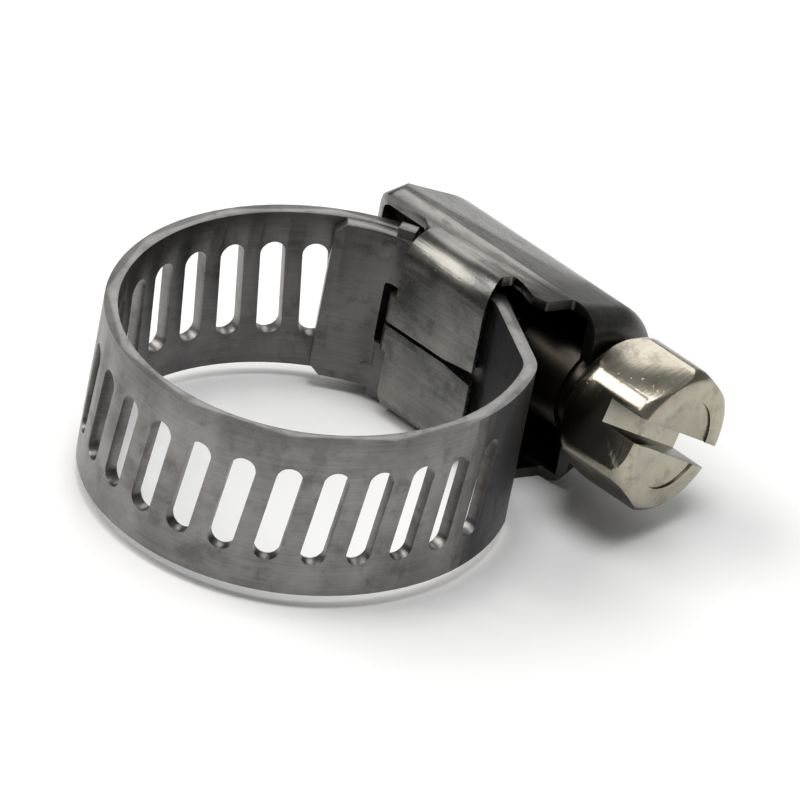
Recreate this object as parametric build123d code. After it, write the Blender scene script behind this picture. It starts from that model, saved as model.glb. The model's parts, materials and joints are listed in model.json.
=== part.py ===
from build123d import *
import os
from math import acos, asin, atan, atan2, ceil, cos, degrees, hypot, pi, radians, sin, sqrt, tan

# Micro worm-drive hose clamp, set to a loop of about 17 mm. Millimetres.
# The origin is the centre of the hose seat, half way across the band. +Z is the hose's axis,
# the housing is on the +Y side, and the screw lies along X with its hex head at +X.

# Band
band_width = 8.0
band_thickness = 0.6
seat_radius = 8.3             # inside of the loop's far side, about the origin
seat_half_angle = 55.0        # the far side runs this far each way from -Y, in degrees
head_side_radius = seat_radius + 2.0   # inside of the loop on the head's side
rear_side_radius = seat_radius + 1.4   # inside of the loop on the other side
kink_angle = 28.0             # where the loop ends on the head's side, in degrees from +X
kink_bend = 2.0               # middle-line radii of the bends
leaving_bend = 1.4
rear_bend = 3.0
tongue_tip_angle = 134.6      # where the tongue ends, in degrees about the rear side's centre
tongue_corner = 0.35
ear_reach = 0.45              # stop ears, past the band's edges
ear_length = 0.8
ear_start = -3.2
ear_root = 0.3
stop_stud_radius = 0.43
stop_stud_height = 0.08
stop_stud_x = -3.35
stop_stud_z = 3.2
window_length = 1.1           # window that the housing's tab is pressed up into
window_width = 3.2
window_x = -2.57
window_corner = 0.2
strip_leaves_x = 2.75         # where the fixed end starts to bend down out of the housing

# Slots
slot_pitch = 2.0
slot_length = 4.85
slot_width = 1.15
first_slot = 3.8              # from the kink, along the band
straight_before_slot = 1.3    # least straight run before the first slot under the worm
cut_before_slot = 1.11        # from that slot back to where the loop's node ends
slot_margin = 0.85            # least distance from a slot's centre to an end

# Free end
turns_each_way = 1.0
end_clearance = 0.15
tail_length = 4.1
tail_corner = 3.0

# Housing
sheet = 0.5
seat_clearance = 0.05         # from the hose to the skirts
play = 0.03                   # between the layers in the housing
side_play = 0.2               # each side of the band
skirt_bend = 1.4              # outside radius where the side walls fold into the skirts
skirt_bend_inside = 0.3
hood_corner = 1.1             # outside radius of the upright corners
dome_clearance = 0.4          # round the thread
shoulder_drop = 1.41          # from the screw's axis down to where the side walls lean in
shoulder_round = 1.5
skirt_rear_x = -2.0
skirt_front_x = 2.95
hood_rear_x = -5.8
hood_edge_height = 0.09       # lower edge of the hood's side walls, above the free end
hood_step = 0.7
hood_lip_x = -5.0             # from here the lower edge rises to the lip at the rear
hood_lip_height = 0.64
hood_rear_height = 1.25       # where the rear wall leans over into the roof
slope_x = -4.3                # a point half way up the roof's rear slope
slope_height = 2.15           # of that point above the screw's axis
dome_rear_x = -2.4
front_x = 7.0
front_round = 1.3
front_wall = 0.6
front_edge_height = 1.19      # lower edge of the front wall, above the free end
notch_rear_x = 2.5            # notch in the side walls where the band leaves
foot_rear_x = 4.3             # foot of the side walls, in front of the notch
foot_front_x = 5.0
foot_depth = 0.25             # below the free end's outer side
notch_round = 0.22
tab_x = -2.55                 # rear face of the tab, in the band's window
tab_thickness = 0.45
tab_width = 2.8
tab_round = 0.35
seam = 0.22
seam_front = 0.7
seam_flare_x = 1.2

# Screw
thread_radius = 3.0
core_radius = 2.28
neck_radius = 2.0
thread_engagement = 0.5       # how far the thread reaches into the slots
thread_tip = 0.42
thread_root = 0.86
thread_lead_in = 0.56         # from the thread's start to the first slot under it
thread_length = 5.75
screw_rear_x = -3.3
rear_chamfer = 0.5
neck_clearance = 0.08
end_play = 0.1
head_length = 4.45
across_flats = 6.35
corner_radius = 3.5           # across corners is trimmed to twice this
head_turn = 10.0              # of a corner from +Y, in degrees
corner_round = 0.5            # of the hexagon's corners
end_face_radius = 2.75
end_round = 0.6
shoulder_face_radius = 2.5
shoulder_round_length = 1.3   # along the head, from its shoulder to the full corners
dish_radius = 2.2
dish_depth = 0.12
slot_in_head = 1.12
slot_depth = 2.0
slot_turn = -31.5             # of the driver slot from +Y, in degrees

# Layers of the housing, from the hose outwards
skirt_y = seat_radius + seat_clearance
tongue_y = skirt_y + sheet + play + band_thickness / 2
layer_step = band_thickness + play
free_y = tongue_y + layer_step
free_top_y = free_y + band_thickness / 2
axis_y = free_top_y - thread_engagement + thread_radius
side_z = band_width / 2 + side_play + sheet
dome_radius = thread_radius + dome_clearance + sheet
shoulder_y = axis_y - shoulder_drop
slope_y = axis_y + slope_height
hood_edge_y = free_top_y + hood_edge_height
hood_lip_y = free_top_y + hood_lip_height
hood_rear_y = free_top_y + hood_rear_height
front_edge_y = free_top_y + front_edge_height
foot_y = free_top_y - foot_depth
lead_angle = degrees(atan(slot_pitch / (2 * pi * (thread_radius - thread_engagement / 2))))


# The band's middle line: every stretch is straight or bends clockwise.
def line(length):
    return ("line", length, 0.0)


def bend(radius, turn):
    return ("bend", radius, turn)


def step(point, heading, stretch, share=1.0):
    """The point and heading at a share of a stretch's length."""
    kind, size, turn = stretch
    ahead = Vector(cos(radians(heading)), sin(radians(heading)))
    if kind == "line":
        return point + ahead * (size * share), heading
    left = Vector(-ahead.Y, ahead.X)
    centre = point - left * size
    return centre + left.rotate(Axis.Z, -turn * share) * size, heading - turn * share


def length_of(stretch):
    kind, size, turn = stretch
    return size if kind == "line" else size * radians(turn)


def edges_beside(point, heading, stretches, offset):
    """Edges at a distance outside the middle line, in order."""
    edges = []
    for stretch in stretches:
        start = outside(point, heading, offset)
        half = step(point, heading, stretch, 0.5)
        point, heading = step(point, heading, stretch)
        end = outside(point, heading, offset)
        if stretch[0] == "line":
            edges.append(Line(start, end))
        else:
            edges.append(ThreePointArc(start, outside(*half, offset), end))
    return edges


def outside(point, heading, offset):
    return point + Vector(-sin(radians(heading)), cos(radians(heading))) * offset


def strip(point, heading, stretches, width):
    """The band's solid along a middle line."""
    half = band_thickness / 2
    outer = edges_beside(point, heading, stretches, half)
    inner = edges_beside(point, heading, stretches, -half)
    caps = [Line(outer[0] @ 0, inner[0] @ 0), Line(outer[-1] @ 1, inner[-1] @ 1)]
    face = make_face(outer + inner + caps)
    return extrude(face, width / 2, both=True)


def slot_cutter(point, heading):
    ahead = Vector(cos(radians(heading)), sin(radians(heading)))
    plane = Plane(origin=point, x_dir=ahead, z_dir=Vector(-ahead.Y, ahead.X))
    outline = plane * Rot(0, 0, 90 - lead_angle) * SlotOverall(slot_length, slot_width)
    return extrude(outline, band_thickness, both=True)


def on_ray(radius, angle, centre=Vector(0, 0)):
    return centre + Vector(radius * cos(radians(angle)), radius * sin(radians(angle)))


# Middle-line arcs of the loop and the bends that lead it into the housing.
half_band = band_thickness / 2
far_arc = seat_radius + half_band
head_arc = head_side_radius + half_band
rear_arc = rear_side_radius + half_band
tongue_arc = rear_arc - layer_step
head_joint = seat_half_angle - 90
rear_joint = -90 - seat_half_angle
head_centre = on_ray(seat_radius - head_side_radius, head_joint)
rear_centre = on_ray(seat_radius - rear_side_radius, rear_joint)
rear_reach = rear_arc - rear_bend
rear_turn = degrees(acos((free_y - rear_bend - rear_centre.Y) / rear_reach))
rear_angle = 90 + rear_turn
bend_centre = on_ray(rear_reach, rear_angle, rear_centre)
kink = on_ray(head_arc, kink_angle, head_centre)
kink_centre = on_ray(head_arc - kink_bend, kink_angle, head_centre)
leaving_centre = Vector(strip_leaves_x, tongue_y - leaving_bend)
leaving = kink_centre - leaving_centre
leaving_run = hypot(leaving.X, leaving.Y)
lean = asin((leaving_bend - kink_bend) / leaving_run)
strip_turn = -degrees(atan2(leaving.Y, leaving.X) - lean)

loop_part = [
    bend(head_arc, kink_angle - head_joint),
    bend(far_arc, 2 * seat_half_angle),
    bend(rear_arc, 360 + rear_joint - rear_angle),
    bend(rear_bend, rear_turn),
]
loop_length = sum(length_of(stretch) for stretch in loop_part)
slots_before = ceil((loop_length + straight_before_slot - first_slot) / slot_pitch)
first_free_slot_x = bend_centre.X + first_slot + slots_before * slot_pitch - loop_length
loop_end_x = first_free_slot_x - cut_before_slot


def band_loop():
    """The band from its tongue, through the housing, round the loop and back in."""
    run_in = line(loop_end_x - bend_centre.X)
    loop = strip(kink, kink_angle - 90, loop_part + [run_in], band_width)
    for at in slot_places(loop_length + run_in[1]):
        loop -= slot_cutter(*at)
    return fixed_end() + loop


def fixed_end():
    """The plain stretch of the band, from the tongue's tip to the kink."""
    stretches = [
        bend(tongue_arc, tongue_tip_angle - rear_angle),
        bend(rear_bend - layer_step, rear_turn),
        line(strip_leaves_x - bend_centre.X),
        bend(leaving_bend, strip_turn),
        line(leaving_run * cos(lean)),
        bend(kink_bend, 90 - kink_angle - strip_turn),
    ]
    tip = on_ray(tongue_arc, tongue_tip_angle, rear_centre)
    plain = strip(tip, tongue_tip_angle - 90, stretches, band_width)
    plain += stop_ears() + stop_studs()
    return plain - tongue_corners(tip) - lock_window()


def slot_places(end):
    """The middle-line point and heading of every slot between the kink and the end."""
    places = []
    along = first_slot
    while along < end - slot_margin:
        places.append(place_along(along))
        along += slot_pitch
    return places


def place_along(along):
    point, heading = kink, kink_angle - 90
    for stretch in loop_part:
        length = length_of(stretch)
        if along < length:
            return step(point, heading, stretch, along / length)
        point, heading = step(point, heading, stretch)
        along -= length
    return step(point, heading, line(along))


def tongue_corners(tip):
    """Cutters for the tip's two corners."""
    cutter = Rot(0, 45, 0) * Box(2 * tongue_corner, 3 * band_thickness, 2 * tongue_corner)
    turn = Rot(0, 0, tongue_tip_angle - 90)
    return [Pos(tip.X, tip.Y, side * band_width / 2) * turn * cutter for side in (1, -1)]


def on_tongue(x, z):
    """A place on the tongue's middle surface. Its local Z points away from the hose."""
    angle = degrees(acos((x - rear_centre.X) / tongue_arc))
    point = on_ray(tongue_arc, angle, rear_centre)
    return Plane(origin=(point.X, point.Y, z), z_dir=on_ray(1, angle)).location


def stop_ears():
    """Ears on the tongue's edges that keep the housing from sliding off it."""
    ear = Box(ear_length, ear_root + ear_reach, band_thickness)
    middle = (band_width - ear_root + ear_reach) / 2
    place = [on_tongue(ear_start + ear_length / 2, side * middle) for side in (1, -1)]
    return [at * ear for at in place]


def stop_studs():
    """Two round half-shear studs on the hose side of the tongue."""
    stud = Cylinder(
        stop_stud_radius, half_band + stop_stud_height, align=(Align.CENTER, Align.CENTER, Align.MAX)
    )
    return [on_tongue(stop_stud_x, side * stop_stud_z) * stud for side in (1, -1)]


def lock_window():
    cutter = Box(window_length, 3 * band_thickness, window_width)
    cutter = fillet(cutter.edges().filter_by(Axis.Y), window_corner)
    return Pos(window_x, tongue_y - half_band, 0) * cutter


def band_free_end():
    """The free end of the band, in the housing between the fixed end and the worm."""
    start = loop_end_x + turns_each_way * slot_pitch + end_clearance
    tail = strip(Vector(start, free_y), 0, [line(tail_length)], band_width)
    tip_edges = tail.edges().filter_by(Axis.Y).group_by(Axis.X)[-1]
    tail = fillet(tip_edges, tail_corner)
    x = first_free_slot_x
    while x < start + tail_length - slot_margin:
        if x > start + slot_margin:
            tail -= slot_cutter(Vector(x, free_y), 0)
        x += slot_pitch
    return tail


def housing_section(inset, corner):
    """Section across the screw. Local x is Y, local y is Z; corner is the fold to the skirts."""
    wall_z = side_z - inset
    floor_y = skirt_y + inset
    radius = dome_radius - inset
    to_shoulder = Vector(shoulder_y - axis_y, side_z)
    lean_in = acos(dome_radius / to_shoulder.length) + atan2(to_shoulder.X, side_z)
    dome_foot = Vector(axis_y + radius * sin(lean_in), radius * cos(lean_in))
    shoulder = Vector(dome_foot.X - (wall_z - dome_foot.Y) / tan(lean_in), wall_z)
    halfway = (lean_in + pi / 2) / 2
    dome_middle = Vector(axis_y + radius * sin(halfway), radius * cos(halfway))
    bend_middle = Vector(floor_y + corner * (1 - sqrt(0.5)), wall_z - corner * (1 - sqrt(0.5)))
    half = [
        Line((floor_y, 0), (floor_y, wall_z - corner)),
        ThreePointArc((floor_y, wall_z - corner), bend_middle, (floor_y + corner, wall_z)),
        Line((floor_y + corner, wall_z), shoulder),
        Line(shoulder, dome_foot),
        ThreePointArc(dome_foot, dome_middle, (axis_y + radius, 0)),
    ]
    face = make_face(half + [edge.mirror(Plane.XZ) for edge in half])
    corners = face.vertices().filter_by(lambda v: (Vector(v) - shoulder).length < 0.01)
    corners += face.vertices().filter_by(lambda v: (Vector(v.X, -v.Y) - shoulder).length < 0.01)
    return fillet(corners, shoulder_round - inset)


def slope_cutter(inset):
    """What the roof's rear slope takes away, moved in by the sheet for the inside."""
    top = axis_y + dome_radius
    above = top + 1
    behind = hood_rear_x - 2
    foot = (hood_rear_x, hood_rear_y)
    middle = (slope_x, slope_y)
    crest = (dome_rear_x, top + 0.02)
    edges = [
        Spline(foot, middle, crest, tangents=[(0.6, 1), (1, 0)]),
        Polyline(crest, (dome_rear_x, above), (behind, above), (behind, hood_rear_y), foot),
    ]
    return Pos(inset, -inset / 2) * extrude(make_face(edges), 2 * side_z, both=True)


def upright_corners(inset):
    """Cutters that round the upright corners at the rear."""
    radius = hood_corner - inset
    reach = radius + 1
    cutters = []
    for side in (-1, 1):
        centre = Pos(hood_rear_x + inset + radius, axis_y, side * (side_z - inset - radius))
        square = Pos(-reach / 2, 0, side * reach / 2) * Box(reach, 4 * dome_radius, reach)
        post = Rot(90, 0, 0) * Cylinder(radius, 5 * dome_radius)
        cutters.append(centre * (square - post))
    return cutters


def outer_block():
    across = Plane.YZ.offset(hood_rear_x) * housing_section(0, skirt_bend)
    block = extrude(across, front_x - hood_rear_x)
    block = fillet(block.edges().group_by(Axis.X)[-1], front_round)
    return block - slope_cutter(0) - upright_corners(0)


def inner_block():
    across = Plane.YZ.offset(hood_rear_x + sheet) * housing_section(sheet, skirt_bend_inside)
    block = extrude(across, front_x - front_wall - hood_rear_x - sheet)
    return block - slope_cutter(sheet) - upright_corners(sheet)


def underside_cutters():
    """Prisms that take away what lies below the hood and the front of the side walls."""
    below = skirt_y - 2
    rear = Polyline(
        (hood_rear_x - 1, below),
        (skirt_rear_x, below),
        (skirt_rear_x, free_y),
        (skirt_rear_x - hood_step, hood_edge_y),
        (hood_lip_x, hood_edge_y),
        (hood_rear_x, hood_lip_y),
        (hood_rear_x - 1, hood_lip_y),
        close=True,
    )
    front = Polyline(
        (skirt_front_x, below),
        (skirt_front_x, skirt_y),
        (notch_rear_x, free_y - 0.1),
        (notch_rear_x + 0.25, free_top_y + 0.15),
        (notch_rear_x + 0.8, free_top_y + 0.1),
        (foot_rear_x, foot_y),
        (foot_front_x, foot_y + 0.15),
        (foot_front_x + 0.5, front_edge_y),
        (front_x + 1, front_edge_y),
        (front_x + 1, below),
        close=True,
    )
    front = make_face(front)
    notch = front.vertices().filter_by(lambda v: v.Y > skirt_y + 1 and v.X < front_x - 1)
    front = fillet(notch, notch_round)
    return [extrude(outline, 2 * side_z, both=True) for outline in (make_face(rear), front)]


def lock_tab():
    """The tongue of the skirts that is pressed up into the band's window."""
    front = tab_x + tab_thickness
    tip = tongue_y + half_band / 2
    outline = Polyline(
        (skirt_rear_x + sheet, skirt_y),
        (tab_x, skirt_y),
        (tab_x, tip),
        (front, tip),
        (front, skirt_y + sheet),
        (skirt_rear_x + sheet, skirt_y + sheet),
        close=True,
    )
    face = make_face(outline)
    corner = face.vertices().sort_by(Axis.X)[0:2].sort_by(Axis.Y)[0]
    return extrude(fillet(corner, tab_round), tab_width / 2, both=True)


def seam_cutter():
    outline = Polyline(
        (skirt_rear_x - 1, -seam / 2),
        (skirt_rear_x - 1, seam / 2),
        (seam_flare_x, seam / 2),
        (skirt_front_x, seam_front / 2),
        (skirt_front_x + 1, seam_front / 2),
        (skirt_front_x + 1, -seam_front / 2),
        (skirt_front_x, -seam_front / 2),
        (seam_flare_x, -seam / 2),
        close=True,
    )
    face = Plane.XZ.offset(-skirt_y - 2 * sheet) * mirror(make_face(outline), Plane.XZ)
    return extrude(face, 4 * sheet)


def housing():
    """One sheet, stamped and wrapped round the band, with the neck's bearing at the front."""
    body = outer_block() - inner_block() - underside_cutters()
    body += lock_tab()
    body -= seam_cutter()
    bore = neck_radius + neck_clearance
    neck = Pos(front_x, axis_y, 0) * Rot(0, 90, 0) * Cylinder(bore, 4 * front_wall)
    gate = Pos(front_x, axis_y - dome_radius, 0) * Box(4 * front_wall, 2 * dome_radius, 2 * bore)
    return body - neck - gate


def worm():
    """Core, neck and thread, with the thread's crests in the free end's slots."""
    head_x = front_x + end_play
    shoulder_x = front_x - front_wall - end_play
    core = Pos(screw_rear_x, axis_y, 0) * Rot(0, 90, 0) * Cylinder(
        core_radius, shoulder_x - screw_rear_x, align=(Align.CENTER, Align.CENTER, Align.MIN)
    )
    core = chamfer(core.edges().sort_by(Axis.X)[0], rear_chamfer)
    neck = Pos(shoulder_x, axis_y, 0) * Rot(0, 90, 0) * Cylinder(
        neck_radius, head_x - shoulder_x + 0.5, align=(Align.CENTER, Align.CENTER, Align.MIN)
    )
    return core + neck + thread()


def thread():
    """A right-hand thread. Its lowest line crosses the band where a slot is."""
    root = core_radius - 0.15
    start = first_free_slot_x - thread_lead_in
    lowest = 270 - 360 * thread_lead_in / slot_pitch
    helix = Helix(slot_pitch, thread_length, core_radius)
    profile = Polyline(
        (root, -thread_root / 2), (thread_radius, -thread_tip / 2),
        (thread_radius, thread_tip / 2), (root, thread_root / 2), close=True,
    )
    section = Plane.XZ * make_face(profile)
    ridge = sweep(section, path=helix, is_frenet=True)
    return Pos(start, axis_y, 0) * Rot(lowest, 0, 0) * Rot(0, 90, 0) * ridge


def head():
    """Slotted hex head with trimmed corners and a dished end."""
    start = front_x + end_play
    place = Pos(start, axis_y, 0) * Rot(0, 90, 0)
    hexagon = RegularPolygon(across_flats / 2, 6, major_radius=False)
    hexagon = fillet(hexagon.vertices(), corner_round)
    prism = extrude(Rot(0, 0, 90 + head_turn) * hexagon, head_length)
    shoulder = (corner_radius, shoulder_round_length)
    end = (corner_radius, head_length - end_round)
    edges = [
        Line((0, 0), (shoulder_face_radius, 0)),
        TangentArc((shoulder_face_radius, 0), shoulder, tangent=(0, -1), tangent_from_first=False),
        Line(shoulder, end),
        TangentArc(end, (end_face_radius, head_length), tangent=(0, 1)),
        Line((end_face_radius, head_length), (0, head_length)),
        Line((0, head_length), (0, 0)),
    ]
    envelope = revolve(Plane.XZ * make_face(edges), Axis.Z)
    dish = Pos(0, 0, head_length) * Cylinder(dish_radius, 2 * dish_depth)
    driver = Box(3 * corner_radius, slot_in_head, 2 * slot_depth)
    driver = Pos(0, 0, head_length) * Rot(0, 0, 90 + slot_turn) * driver
    return place * ((prism & envelope) - dish - driver)


def screw():
    return worm() + head()


os.makedirs("parts", exist_ok=True)
for name, solid in {
    "band_loop": band_loop(),
    "band_free_end": band_free_end(),
    "housing": housing(),
    "worm_screw": screw(),
}.items():
    export_step(solid, f"parts/{name}.step")
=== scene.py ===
import json
import logging
import math
from dataclasses import dataclass, field
from enum import Enum
from typing import Any, Callable

import bpy
from mathutils import Matrix, Vector


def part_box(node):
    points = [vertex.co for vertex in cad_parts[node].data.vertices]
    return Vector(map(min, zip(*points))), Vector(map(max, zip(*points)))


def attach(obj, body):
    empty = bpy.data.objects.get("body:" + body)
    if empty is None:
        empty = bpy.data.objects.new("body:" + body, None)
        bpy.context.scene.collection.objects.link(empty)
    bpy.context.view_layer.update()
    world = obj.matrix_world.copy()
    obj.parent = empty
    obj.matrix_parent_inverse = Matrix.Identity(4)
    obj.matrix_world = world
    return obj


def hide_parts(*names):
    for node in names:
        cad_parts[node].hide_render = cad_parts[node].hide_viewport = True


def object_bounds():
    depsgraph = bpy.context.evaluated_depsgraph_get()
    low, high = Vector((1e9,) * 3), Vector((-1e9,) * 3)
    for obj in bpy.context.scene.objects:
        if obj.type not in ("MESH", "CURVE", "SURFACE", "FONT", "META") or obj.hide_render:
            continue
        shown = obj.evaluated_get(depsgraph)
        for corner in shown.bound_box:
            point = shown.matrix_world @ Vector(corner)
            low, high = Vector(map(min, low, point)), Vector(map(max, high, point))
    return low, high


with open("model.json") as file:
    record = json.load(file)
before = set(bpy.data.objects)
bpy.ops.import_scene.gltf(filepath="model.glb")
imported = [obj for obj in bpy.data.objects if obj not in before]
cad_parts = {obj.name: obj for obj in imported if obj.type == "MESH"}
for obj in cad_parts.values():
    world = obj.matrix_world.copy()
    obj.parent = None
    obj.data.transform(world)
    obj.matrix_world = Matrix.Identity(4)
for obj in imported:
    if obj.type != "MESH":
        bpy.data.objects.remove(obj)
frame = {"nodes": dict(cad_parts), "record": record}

logging.basicConfig(level=logging.INFO, format="%(message)s")
log = logging.getLogger("hose_clamp")

MM = 0.001
CAD_BOX = [list(corner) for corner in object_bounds()]

SCREW_AXIS_Y = frame["record"]["behaviour"]["joints"][0]["pos_m"][1]
NECK_END_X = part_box("housing")[1].x + 0.05 * MM

Colour = tuple[float, float, float]
Rule = Callable[[Vector, Vector], float]


def direction(azimuth: float, elevation: float) -> Vector:
    """The way from the clamp to a camera or lamp.

    Args:
        azimuth: Degrees round the upright, 0 in front of the loop and 90 on the head's side.
        elevation: Degrees above the horizon.

    Returns:
        A vector of length 1.
    """
    turn = math.radians(azimuth)
    lift = math.radians(elevation)
    level = math.cos(lift)
    return Vector((math.sin(turn) * level, -math.cos(turn) * level, math.sin(lift)))


class Grain(Enum):
    """Which way the fine rolling or turning marks run on a piece."""

    ROUND_THE_LOOP = "round the loop"
    ALONG_THE_SCREW = "along the screw"
    TURNED = "turned"


class Maths:
    """A shader socket that takes part in ordinary arithmetic, one Math node for each operation."""

    def __init__(self, nodes: "NodeBench", socket: bpy.types.NodeSocket) -> None:
        """Wrap a value socket.

        Args:
            nodes: The bench of the material that the socket belongs to.
            socket: The output socket that carries the value.
        """
        self.nodes = nodes
        self.socket = socket

    def _with(self, operation: str, *values: Any, clamp: bool = False) -> "Maths":
        """Add one Math node.

        Args:
            operation: Blender's name for the operation.
            *values: The node's inputs in order, numbers or wrapped sockets.
            clamp: Whether the result is kept between 0 and 1.

        Returns:
            The result, wrapped.
        """
        settings = {"operation": operation, "use_clamp": clamp}
        node = self.nodes.add("ShaderNodeMath", settings, dict(enumerate(values)))
        return Maths(self.nodes, node.outputs[0])

    def __add__(self, other: Any) -> "Maths":
        """Sum."""
        return self._with("ADD", self, other)

    def __sub__(self, other: Any) -> "Maths":
        """Difference."""
        return self._with("SUBTRACT", self, other)

    def __mul__(self, other: Any) -> "Maths":
        """Product."""
        return self._with("MULTIPLY", self, other)

    def __truediv__(self, other: Any) -> "Maths":
        """Quotient."""
        return self._with("DIVIDE", self, other)

    def __radd__(self, other: Any) -> "Maths":
        """Sum with a number on the left."""
        return self._with("ADD", other, self)

    def __rsub__(self, other: Any) -> "Maths":
        """Difference from a number on the left."""
        return self._with("SUBTRACT", other, self)

    def __rmul__(self, other: Any) -> "Maths":
        """Product with a number on the left."""
        return self._with("MULTIPLY", other, self)

    def clamped(self) -> "Maths":
        """Kept between 0 and 1."""
        return self._with("ADD", self, 0.0, clamp=True)

    def larger(self, other: Any) -> "Maths":
        """The larger of two values."""
        return self._with("MAXIMUM", self, other)

    def rise(self, low: float, high: float) -> "Maths":
        """A smooth step.

        Args:
            low: Where the step starts, with the result 0.
            high: Where the step ends, with the result 1. It may be below low.

        Returns:
            The step's value, wrapped.
        """
        share = ((self - low) / (high - low)).clamped()
        return share * share * (3.0 - 2.0 * share)


class NodeBench:
    """Builds one material's node tree."""

    def __init__(self, name: str) -> None:
        """Start an empty material.

        Args:
            name: The material's name.
        """
        self.material = bpy.data.materials.new(name)
        self.material.use_nodes = True
        self.tree = self.material.node_tree
        self.tree.nodes.clear()

    def add(self, kind: str, settings: dict[str, Any], inputs: dict[Any, Any]) -> bpy.types.Node:
        """Add a node.

        Args:
            kind: The node's type.
            settings: Properties that are set before the inputs.
            inputs: Input names or indices, with numbers, colours, sockets or wrapped sockets.

        Returns:
            The new node.
        """
        node = self.tree.nodes.new(kind)
        for key, value in settings.items():
            setattr(node, key, value)
        for key, value in inputs.items():
            socket = value.socket if isinstance(value, Maths) else value
            if isinstance(socket, bpy.types.NodeSocket):
                self.tree.links.new(socket, node.inputs[key])
            else:
                node.inputs[key].default_value = value
        return node

    def place(self) -> bpy.types.NodeSocket:
        """The point on the piece, in its own coordinates."""
        return self.add("ShaderNodeTexCoord", {}, {}).outputs["Object"]

    def axes(self) -> tuple[Maths, Maths, Maths]:
        """X, Y and Z of the point on the piece, in millimetres."""
        split = self.add("ShaderNodeSeparateXYZ", {}, {0: self.place()})
        return tuple(Maths(self, split.outputs[i]) * 1000.0 for i in range(3))

    def joined(self, x: Any, y: Any, z: Any) -> bpy.types.NodeSocket:
        """One vector from three values."""
        return self.add("ShaderNodeCombineXYZ", {}, {0: x, 1: y, 2: z}).outputs[0]

    def noise(self, where: Any, scale: float, detail: float = 3.0, rough: float = 0.55) -> Maths:
        """Cloudy variation from 0 to 1.

        Args:
            where: The vector the pattern is read at.
            scale: How many features fit in one unit.
            detail: How many finer layers are added.
            rough: How strong the finer layers are.

        Returns:
            The noise value, wrapped.
        """
        inputs = {"Vector": where, "Scale": scale, "Detail": detail, "Roughness": rough}
        node = self.add("ShaderNodeTexNoise", {"noise_dimensions": "3D"}, inputs)
        return Maths(self, node.outputs[0])

    def mix(self, share: Any, low: Any, high: Any) -> bpy.types.NodeSocket:
        """A colour between two colours.

        Args:
            share: 0 for the first colour and 1 for the second.
            low: The first colour, or a colour socket.
            high: The second colour, or a colour socket.

        Returns:
            The mixed colour's socket.
        """
        node = self.tree.nodes.new("ShaderNodeMix")
        node.data_type = "RGBA"
        colours = [s for s in node.inputs if s.type == "RGBA"]
        factor = share.socket if isinstance(share, Maths) else share
        for socket, value in ((node.inputs[0], factor), (colours[0], low), (colours[1], high)):
            if isinstance(value, bpy.types.NodeSocket):
                self.tree.links.new(value, socket)
            elif isinstance(value, tuple):
                socket.default_value = (*value, 1.0)
            else:
                socket.default_value = value
        return next(s for s in node.outputs if s.type == "RGBA")

    def bump(self, height: Maths, depth: float, strength: float) -> bpy.types.NodeSocket:
        """A surface normal tilted by a height.

        Args:
            height: The height, from 0 to 1.
            depth: What a height of 1 is, in metres.
            strength: How much of the tilt is used.

        Returns:
            The normal's socket.
        """
        inputs = {"Strength": strength, "Distance": depth, "Height": height}
        return self.add("ShaderNodeBump", {}, inputs).outputs["Normal"]

    def finish(self, metal: "Metal", colour: Any, rough: Any, normal: Any) -> bpy.types.Material:
        """Close the tree with a metal surface.

        Args:
            metal: The finish the surface is made for.
            colour: The base colour's socket.
            rough: The roughness value.
            normal: The surface normal's socket.

        Returns:
            The finished material.
        """
        inputs = {"Base Color": colour, "Roughness": rough, "Normal": normal}
        inputs["Metallic"] = metal.metallic
        shader = self.add("ShaderNodeBsdfPrincipled", {}, inputs)
        self.add("ShaderNodeOutputMaterial", {}, {"Surface": shader.outputs[0]})
        return self.material


@dataclass(frozen=True)
class Pattern:
    """One noise pattern: its scale and detail, and the band of values it is stretched over."""

    scale: float
    detail: float
    rough: float
    low: float
    high: float

    def noise(self, bench: NodeBench, where: Any) -> Maths:
        """The plain noise, from 0 to 1."""
        return bench.noise(where, self.scale, self.detail, self.rough)


GRAIN_LINES = Pattern(scale=1.0, detail=4.0, rough=0.65, low=0.25, high=0.75)
CLOUDS = Pattern(scale=330.0, detail=3.0, rough=0.6, low=0.3, high=0.72)
STAINS = Pattern(scale=780.0, detail=4.0, rough=0.7, low=0.5, high=0.72)
PITS = Pattern(scale=5200.0, detail=2.0, rough=0.5, low=0.68, high=0.78)

GRAIN_STRETCH = {
    Grain.ROUND_THE_LOOP: (0.35, 0.35, 9.0),
    Grain.ALONG_THE_SCREW: (0.3, 5.0, 5.0),
    Grain.TURNED: (7.0, 0.5, 0.5),
}

CLOUD_SHARE = 0.65
GRAIN_SHARE = 0.35
STAIN_STRENGTH = 0.5
STAIN_ROUGHNESS = 0.08
# Painted shade: how much the cloud breaks it up and how much rougher it makes the surface.
SHADE_BREAKUP = 0.3
SHADE_ROUGHNESS = 0.12
GRAIN_HEIGHT = 0.7
CLOUD_HEIGHT = 0.3
PIT_HEIGHT = 0.6
BUMP_STRENGTH = 0.6
# Painted shade on the dome's front: how ragged its edge is and how strong it is.
FRONT_SHADE_RAGGEDNESS = 2.0
FRONT_SHADE_STRENGTH = 0.62


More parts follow.
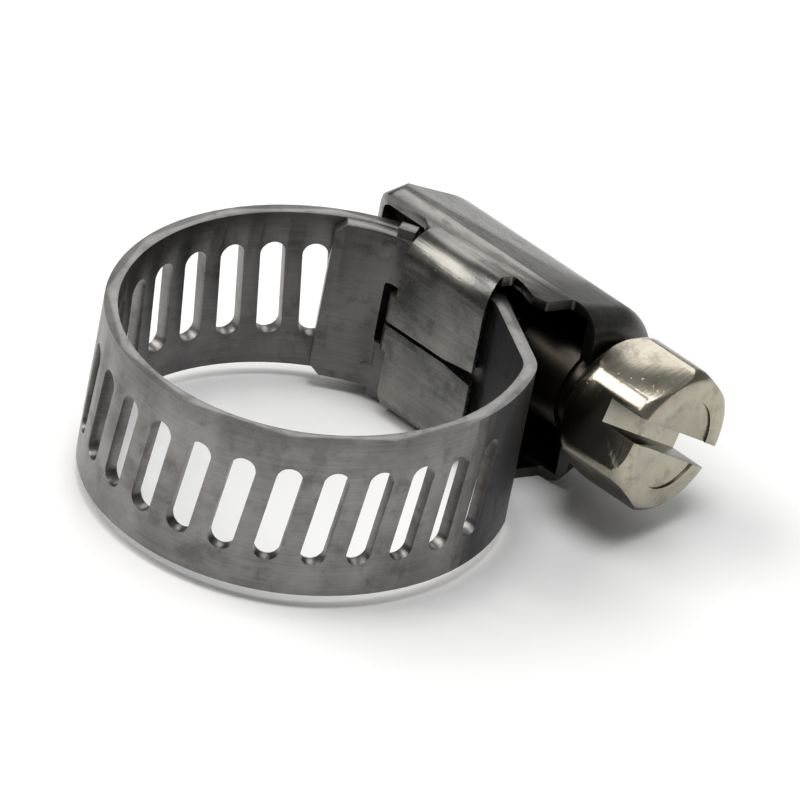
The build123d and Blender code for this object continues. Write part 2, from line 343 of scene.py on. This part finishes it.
@dataclass(frozen=True)
class Metal:
    """A bare metal surface, its tones and how stained and grained it is.

    The darkest colour is painted shade, mixed in where shade falls in and under the clamp.
    A pair of X values, in millimetres, gives where painted shade on the front of the dome starts
    and where it is full.
    """

    name: str
    light: Colour
    dark: Colour
    stain: Colour
    # painted shade: the dark colour mixed in where shade falls
    shade_colour: Colour
    rough: float
    rough_swing: float
    grain: Grain
    grain_depth: float
    metallic: float = 1.0
    # where along X the painted shade on the dome's front starts and is full
    front_shade: tuple[float, float] | None = None

    def grain_place(self, bench: NodeBench) -> bpy.types.NodeSocket:
        """Coordinates stretched along the grain.

        Args:
            bench: The material under construction.

        Returns:
            A vector that changes slowly along the grain and quickly across it.
        """
        stretched = [axis * by for axis, by in zip(bench.axes(), GRAIN_STRETCH[self.grain])]
        return bench.joined(*stretched)

    def dome_front_shade(self, bench: NodeBench, cloud: Maths) -> Maths:
        """Painted shade on the front of the dome.

        Args:
            bench: The material under construction.
            cloud: Cloudy variation that breaks the edge of the painted shade.

        Returns:
            How much painted shade is mixed in, from 0 to 1.
        """
        x, _, _ = bench.axes()
        ragged = x + (cloud - 0.5) * FRONT_SHADE_RAGGEDNESS
        return ragged.rise(*self.front_shade) * FRONT_SHADE_STRENGTH

    def material(self) -> bpy.types.Material:
        """Build the material.

        Returns:
            A node material with grain, clouds, stains, small dents and painted shade.
        """
        bench = NodeBench(self.name)
        where = bench.place()
        grain = GRAIN_LINES.noise(bench, self.grain_place(bench))
        cloud = CLOUDS.noise(bench, where)
        stains = STAINS.noise(bench, where).rise(STAINS.low, STAINS.high)
        pits = PITS.noise(bench, where).rise(PITS.low, PITS.high)
        clouded = cloud.rise(CLOUDS.low, CLOUDS.high) * CLOUD_SHARE
        lined = grain.rise(GRAIN_LINES.low, GRAIN_LINES.high) * GRAIN_SHARE
        colour = bench.mix((clouded + lined).clamped(), self.dark, self.light)
        colour = bench.mix(stains * STAIN_STRENGTH, colour, self.stain)
        # Painted shade: a share on each face, from the shade rules, mixes in the dark shade colour.
        attribute = bench.add("ShaderNodeAttribute", {"attribute_name": "painted_shade"}, {})
        painted_shade = Maths(bench, attribute.outputs["Fac"])
        # The dome's front also gets painted shade.
        if self.front_shade:
            painted_shade = painted_shade.larger(self.dome_front_shade(bench, cloud))
        painted = (painted_shade + (cloud - 0.5) * painted_shade * SHADE_BREAKUP).clamped()
        colour = bench.mix(painted, colour, self.shade_colour)
        swing = (cloud - 0.5) * self.rough_swing
        rough = self.rough + swing + (grain - 0.5) * self.rough_swing
        rough = (rough + stains * STAIN_ROUGHNESS + painted_shade * SHADE_ROUGHNESS).clamped()
        height = grain * GRAIN_HEIGHT + cloud * CLOUD_HEIGHT - pits * PIT_HEIGHT
        normal = bench.bump(height, self.grain_depth, BUMP_STRENGTH)
        return bench.finish(self, colour, rough, normal)


# The darkest colour of each metal is painted shade.
BAND_STEEL = Metal(
    name="band_brushed_steel",
    light=(0.27, 0.264, 0.256), dark=(0.125, 0.121, 0.118), stain=(0.085, 0.071, 0.06),
    shade_colour=(0.022, 0.022, 0.027),
    rough=0.36, rough_swing=0.16, grain=Grain.ROUND_THE_LOOP, grain_depth=0.035 * MM,
)
HOUSING_STEEL = Metal(
    name="housing_pressed_steel",
    light=(0.235, 0.228, 0.207), dark=(0.095, 0.096, 0.094), stain=(0.04, 0.044, 0.052),
    shade_colour=(0.012, 0.011, 0.010),
    rough=0.27, rough_swing=0.16, grain=Grain.ALONG_THE_SCREW, grain_depth=0.03 * MM,
    # Painted shade on the front of the dome, starting at 2.6 mm and full at 4.6 mm along X.
    front_shade=(2.6, 4.6),
)
SCREW_PLATE = Metal(
    name="screw_satin_plate",
    light=(0.44, 0.415, 0.335), dark=(0.30, 0.275, 0.215), stain=(0.17, 0.145, 0.10),
    shade_colour=(0.05, 0.045, 0.036),
    rough=0.22, rough_swing=0.10, grain=Grain.TURNED, grain_depth=0.02 * MM,
)


# Painted shade on the band: inside the loop and stronger towards the kink; outside the kink it is a
# painted dark reflection.
INSIDE_LOOP_SHADE = 0.38
KINK_INSIDE_SHADE = 0.45
KINK_OUTSIDE_SHADE = 0.85
# Painted shade inside the housing.
HOUSING_INSIDE_SHADE = 0.95
# Painted shade on the screw: shank, driver slot walls and head's under side.
SHANK_SHADE = 1.0
DRIVER_SLOT_SHADE = 0.85
HEAD_UNDERSIDE_SHADE = 0.6
KINK_INSIDE_X = (3.5 * MM, 5.0 * MM)
KINK_OUTSIDE_Y = (0.5 * MM, 3.0 * MM)
DRIVER_SLOT_REACH = 2.9 * MM
FACES_THAT_WAY = 0.5
FACES_THE_SCREW = 0.45
OUTER_SLOPE = -0.3


def step_up(value: float, low: float, high: float) -> float:
    """A smooth step for a plain number.

    Args:
        value: The number.
        low: Where the step starts, with the result 0.
        high: Where the step ends, with the result 1.

    Returns:
        A share from 0 to 1.
    """
    share = min(max((value - low) / (high - low), 0.0), 1.0)
    return share * share * (3.0 - 2.0 * share)


def band_painted_shade(place: Vector, facing: Vector) -> float:
    """How much painted shade a face of the band gets: shade inside the loop, and a painted dark
    reflection outside near the head.

    Args:
        place: The face's middle.
        facing: The way it faces.

    Returns:
        A share from 0 to 1.
    """
    outwards = facing.xy.dot(place.xy.normalized())
    if outwards < -FACES_THAT_WAY:
        return INSIDE_LOOP_SHADE + KINK_INSIDE_SHADE * step_up(place.x, *KINK_INSIDE_X)
    if outwards > FACES_THAT_WAY and place.x > 0.0:
        return KINK_OUTSIDE_SHADE * step_up(place.y, *KINK_OUTSIDE_Y)
    return 0.0


def housing_painted_shade(place: Vector, facing: Vector) -> float:
    """How much painted shade a face of the housing gets: everything that looks inwards at the
    screw.

    Args:
        place: The face's middle.
        facing: The way it faces.

    Returns:
        A share from 0 to 1.
    """
    across = Vector((place.y - SCREW_AXIS_Y, place.z))
    inwards = -Vector((facing.y, facing.z)).dot(across.normalized())
    if inwards > FACES_THE_SCREW and facing.x >= OUTER_SLOPE:
        return HOUSING_INSIDE_SHADE
    return 0.0


def screw_painted_shade(place: Vector, facing: Vector) -> float:
    """How much painted shade a face of the screw gets: shank, driver slot walls and head's under
    side.

    Args:
        place: The face's middle.
        facing: The way it faces.

    Returns:
        A share from 0 to 1.
    """
    if place.x < NECK_END_X:
        return SHANK_SHADE
    across = Vector((place.y - SCREW_AXIS_Y, place.z))
    if across.length < DRIVER_SLOT_REACH and abs(facing.x) < FACES_THAT_WAY:
        return DRIVER_SLOT_SHADE
    if facing.z < -FACES_THAT_WAY:
        return HEAD_UNDERSIDE_SHADE
    return 0.0


@dataclass
class Part:
    """A visible piece made from a CAD node, with its edges broken as on the real part."""

    node: str
    body: str
    slot: str
    metal: Metal
    edge: float
    painted_shade: Rule
    smooth_degrees: float = 30.0
    shared: dict[str, bpy.types.Material] = field(default_factory=dict)

    def build(self) -> bpy.types.Object:
        """Copy the node's shape, weld it, break its edges and dress it.

        Returns:
            The finished piece.
        """
        piece = self.copied()
        self.weld(piece)
        self.break_edges(piece)
        self.smooth(piece)
        self.dress(piece)
        return piece

    def copied(self) -> bpy.types.Object:
        """A copy of the CAD node with its own mesh."""
        source = frame["nodes"][self.node]
        piece = bpy.data.objects.new(self.node + "_part", source.data.copy())
        bpy.context.scene.collection.objects.link(piece)
        return piece

    def select(self, piece: bpy.types.Object) -> None:
        """Make a piece the only selected and active object."""
        bpy.ops.object.select_all(action="DESELECT")
        piece.select_set(True)
        bpy.context.view_layer.objects.active = piece

    def weld(self, piece: bpy.types.Object) -> None:
        """Join the loose triangles and clear the flat ones away.

        Args:
            piece: The copy to clean.
        """
        self.select(piece)
        bpy.ops.object.mode_set(mode="EDIT")
        bpy.ops.mesh.select_all(action="SELECT")
        bpy.ops.mesh.remove_doubles(threshold=0.002 * MM)
        bpy.ops.mesh.dissolve_limited(angle_limit=math.radians(0.4), delimit={"NORMAL"})
        bpy.ops.object.mode_set(mode="OBJECT")

    def break_edges(self, piece: bpy.types.Object) -> None:
        """Round every sharp edge a little, so that it catches the light.

        Args:
            piece: The welded copy.
        """
        bevel = piece.modifiers.new("broken_edges", "BEVEL")
        bevel.width = self.edge
        bevel.segments = 2
        bevel.limit_method = "ANGLE"
        bevel.angle_limit = math.radians(38.0)
        bevel.harden_normals = False
        bevel.use_clamp_overlap = True
        bpy.ops.object.modifier_apply(modifier=bevel.name)

    def smooth(self, piece: bpy.types.Object) -> None:
        """Shade the curved faces smooth and keep the corners crisp."""
        self.select(piece)
        bpy.ops.object.shade_smooth_by_angle(angle=math.radians(self.smooth_degrees))

    def dress(self, piece: bpy.types.Object) -> None:
        """Give the piece its finish and its body, and hide its CAD node.

        Args:
            piece: The shaped copy.
        """
        # Each face gets its share of painted shade.
        share = piece.data.attributes.new("painted_shade", "FLOAT", "FACE")
        for face, value in zip(piece.data.polygons, share.data):
            value.value = self.painted_shade(face.center, face.normal)
        if self.metal.name not in self.shared:
            self.shared[self.metal.name] = self.metal.material()
        piece.data.materials.clear()
        piece.data.materials.append(self.shared[self.metal.name])
        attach(piece, self.body)
        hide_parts(self.node)


@dataclass
class Clamp:
    """The whole clamp: band, housing and screw."""

    edge: float = 0.05 * MM
    fine_edge: float = 0.035 * MM
    materials: dict[str, bpy.types.Material] = field(default_factory=dict)

    def build(self) -> list[bpy.types.Object]:
        """Build every piece.

        Returns:
            The pieces in order.
        """
        parts = [
            Part("band_loop", "clamp", "band", BAND_STEEL, self.edge, band_painted_shade),
            Part("band_free_end", "free_end", "band", BAND_STEEL, self.edge, band_painted_shade),
            Part(
                "housing", "clamp", "housing", HOUSING_STEEL, self.fine_edge, housing_painted_shade,
                smooth_degrees=40.0,
            ),
            Part("worm_screw", "screw", "screw", SCREW_PLATE, self.edge, screw_painted_shade),
        ]
        pieces = []
        for part in parts:
            part.shared = self.materials
            piece = part.build()
            log.info("built %s with %d faces", piece.name, len(piece.data.polygons))
            pieces.append(piece)
        return pieces


@dataclass(frozen=True)
class Lamp:
    """One soft rectangular studio light."""

    name: str
    azimuth: float
    elevation: float
    distance: float
    width: float
    height: float
    watts: float
    colour: Colour = (1.0, 1.0, 1.0)

    def build(self, centre: Vector) -> bpy.types.Object:
        """Add the light, aimed at the clamp.

        Args:
            centre: What it points at.

        Returns:
            The light's object.
        """
        away = direction(self.azimuth, self.elevation)
        data = bpy.data.lights.new(self.name, "AREA")
        data.shape = "RECTANGLE"
        data.size = self.width
        data.size_y = self.height
        data.energy = self.watts
        data.color = self.colour
        lamp = bpy.data.objects.new(self.name, data)
        lamp.location = centre + away * self.distance
        lamp.rotation_euler = away.to_track_quat("Z", "Y").to_euler()
        bpy.context.scene.collection.objects.link(lamp)
        return lamp


@dataclass
class Studio:
    """Pale floor, soft lights and the camera."""

    azimuth: float = 37.9
    elevation: float = 32.6
    lean: float = 11.4
    distance: float = 500 * MM
    frame_width: float = 34.934 * MM
    aim_right: float = 4.738 * MM
    aim_up: float = 0.157 * MM
    sensor: float = 36.0
    floor_size: float = 1.6
    lamps: list[Lamp] = field(default_factory=lambda: [
        Lamp("key", -54.0, 48.0, 0.60, 0.42, 0.36, 2.2, (1.0, 0.985, 0.95)),
        Lamp("back", 216.0, 32.0, 0.60, 0.30, 0.32, 0.70, (0.99, 0.995, 1.0)),
        Lamp("overhead", 37.9, 86.0, 0.60, 0.30, 0.30, 2.0),
    ])

    def camera_axes(self) -> tuple[Vector, Vector, Vector]:
        """The camera's right, up and backward directions."""
        turn = math.radians(self.azimuth)
        back = direction(self.azimuth, self.elevation)
        level = Vector((math.cos(turn), math.sin(turn), 0.0))
        upright = back.cross(level)
        roll = math.radians(self.lean)
        right = level * math.cos(roll) + upright * math.sin(roll)
        up = upright * math.cos(roll) - level * math.sin(roll)
        return right, up, back

    def build_camera(self) -> bpy.types.Object:
        """Add the camera and make it the scene's own.

        Returns:
            The camera's object.
        """
        right, up, back = self.camera_axes()
        data = bpy.data.cameras.new("camera")
        data.sensor_width = self.sensor
        data.lens = self.sensor * self.distance / self.frame_width
        data.clip_start = 0.01
        camera = bpy.data.objects.new("camera", data)
        place = right * self.aim_right + up * self.aim_up + back * self.distance
        turned = Matrix((right, up, back)).transposed()
        camera.matrix_world = Matrix.Translation(place) @ turned.to_4x4()
        bpy.context.scene.collection.objects.link(camera)
        bpy.context.scene.camera = camera
        return camera

    def build_floor(self, level: float) -> bpy.types.Object:
        """Add the floor under the clamp.

        Args:
            level: The height it lies at.

        Returns:
            The floor's object.
        """
        bpy.ops.object.select_all(action="DESELECT")
        bpy.ops.mesh.primitive_plane_add(size=self.floor_size, location=(0.0, 0.0, level))
        floor = bpy.context.active_object
        floor.name = "floor"
        bpy.ops.object.transform_apply(location=True, rotation=True, scale=True)
        bench = NodeBench("pale_floor")
        cloud = bench.noise(bench.place(), 9.0, 2.0)
        colour = bench.mix(cloud, (0.93, 0.93, 0.93), (0.96, 0.96, 0.96))
        shader = bench.add("ShaderNodeBsdfPrincipled", {}, {"Base Color": colour, "Roughness": 0.7})
        bench.add("ShaderNodeOutputMaterial", {}, {"Surface": shader.outputs[0]})
        floor.data.materials.append(bench.material)
        return floor

    def build_world(self) -> None:
        """Fill the surroundings with even white light."""
        world = bpy.data.worlds.new("studio")
        world.use_nodes = True
        background = world.node_tree.nodes["Background"]
        background.inputs["Color"].default_value = (1.0, 1.0, 1.0, 1.0)
        background.inputs["Strength"].default_value = 0.2
        bpy.context.scene.world = world
        bpy.context.scene.view_settings.view_transform = "Standard"

    def build(self, low: Vector, high: Vector) -> None:
        """Build the stage round an object's box.

        Args:
            low: The box's lowest corner.
            high: The box's highest corner.
        """
        self.build_world()
        self.build_camera()
        self.build_floor(low.z)
        centre = (low + high) / 2
        for lamp in self.lamps:
            lamp.build(centre)


def main() -> None:
    """Build the clamp and the studio."""
    low, high = (Vector(corner) for corner in CAD_BOX)
    Clamp().build()
    Studio().build(low, high)


if __name__ == "__main__":
    main()
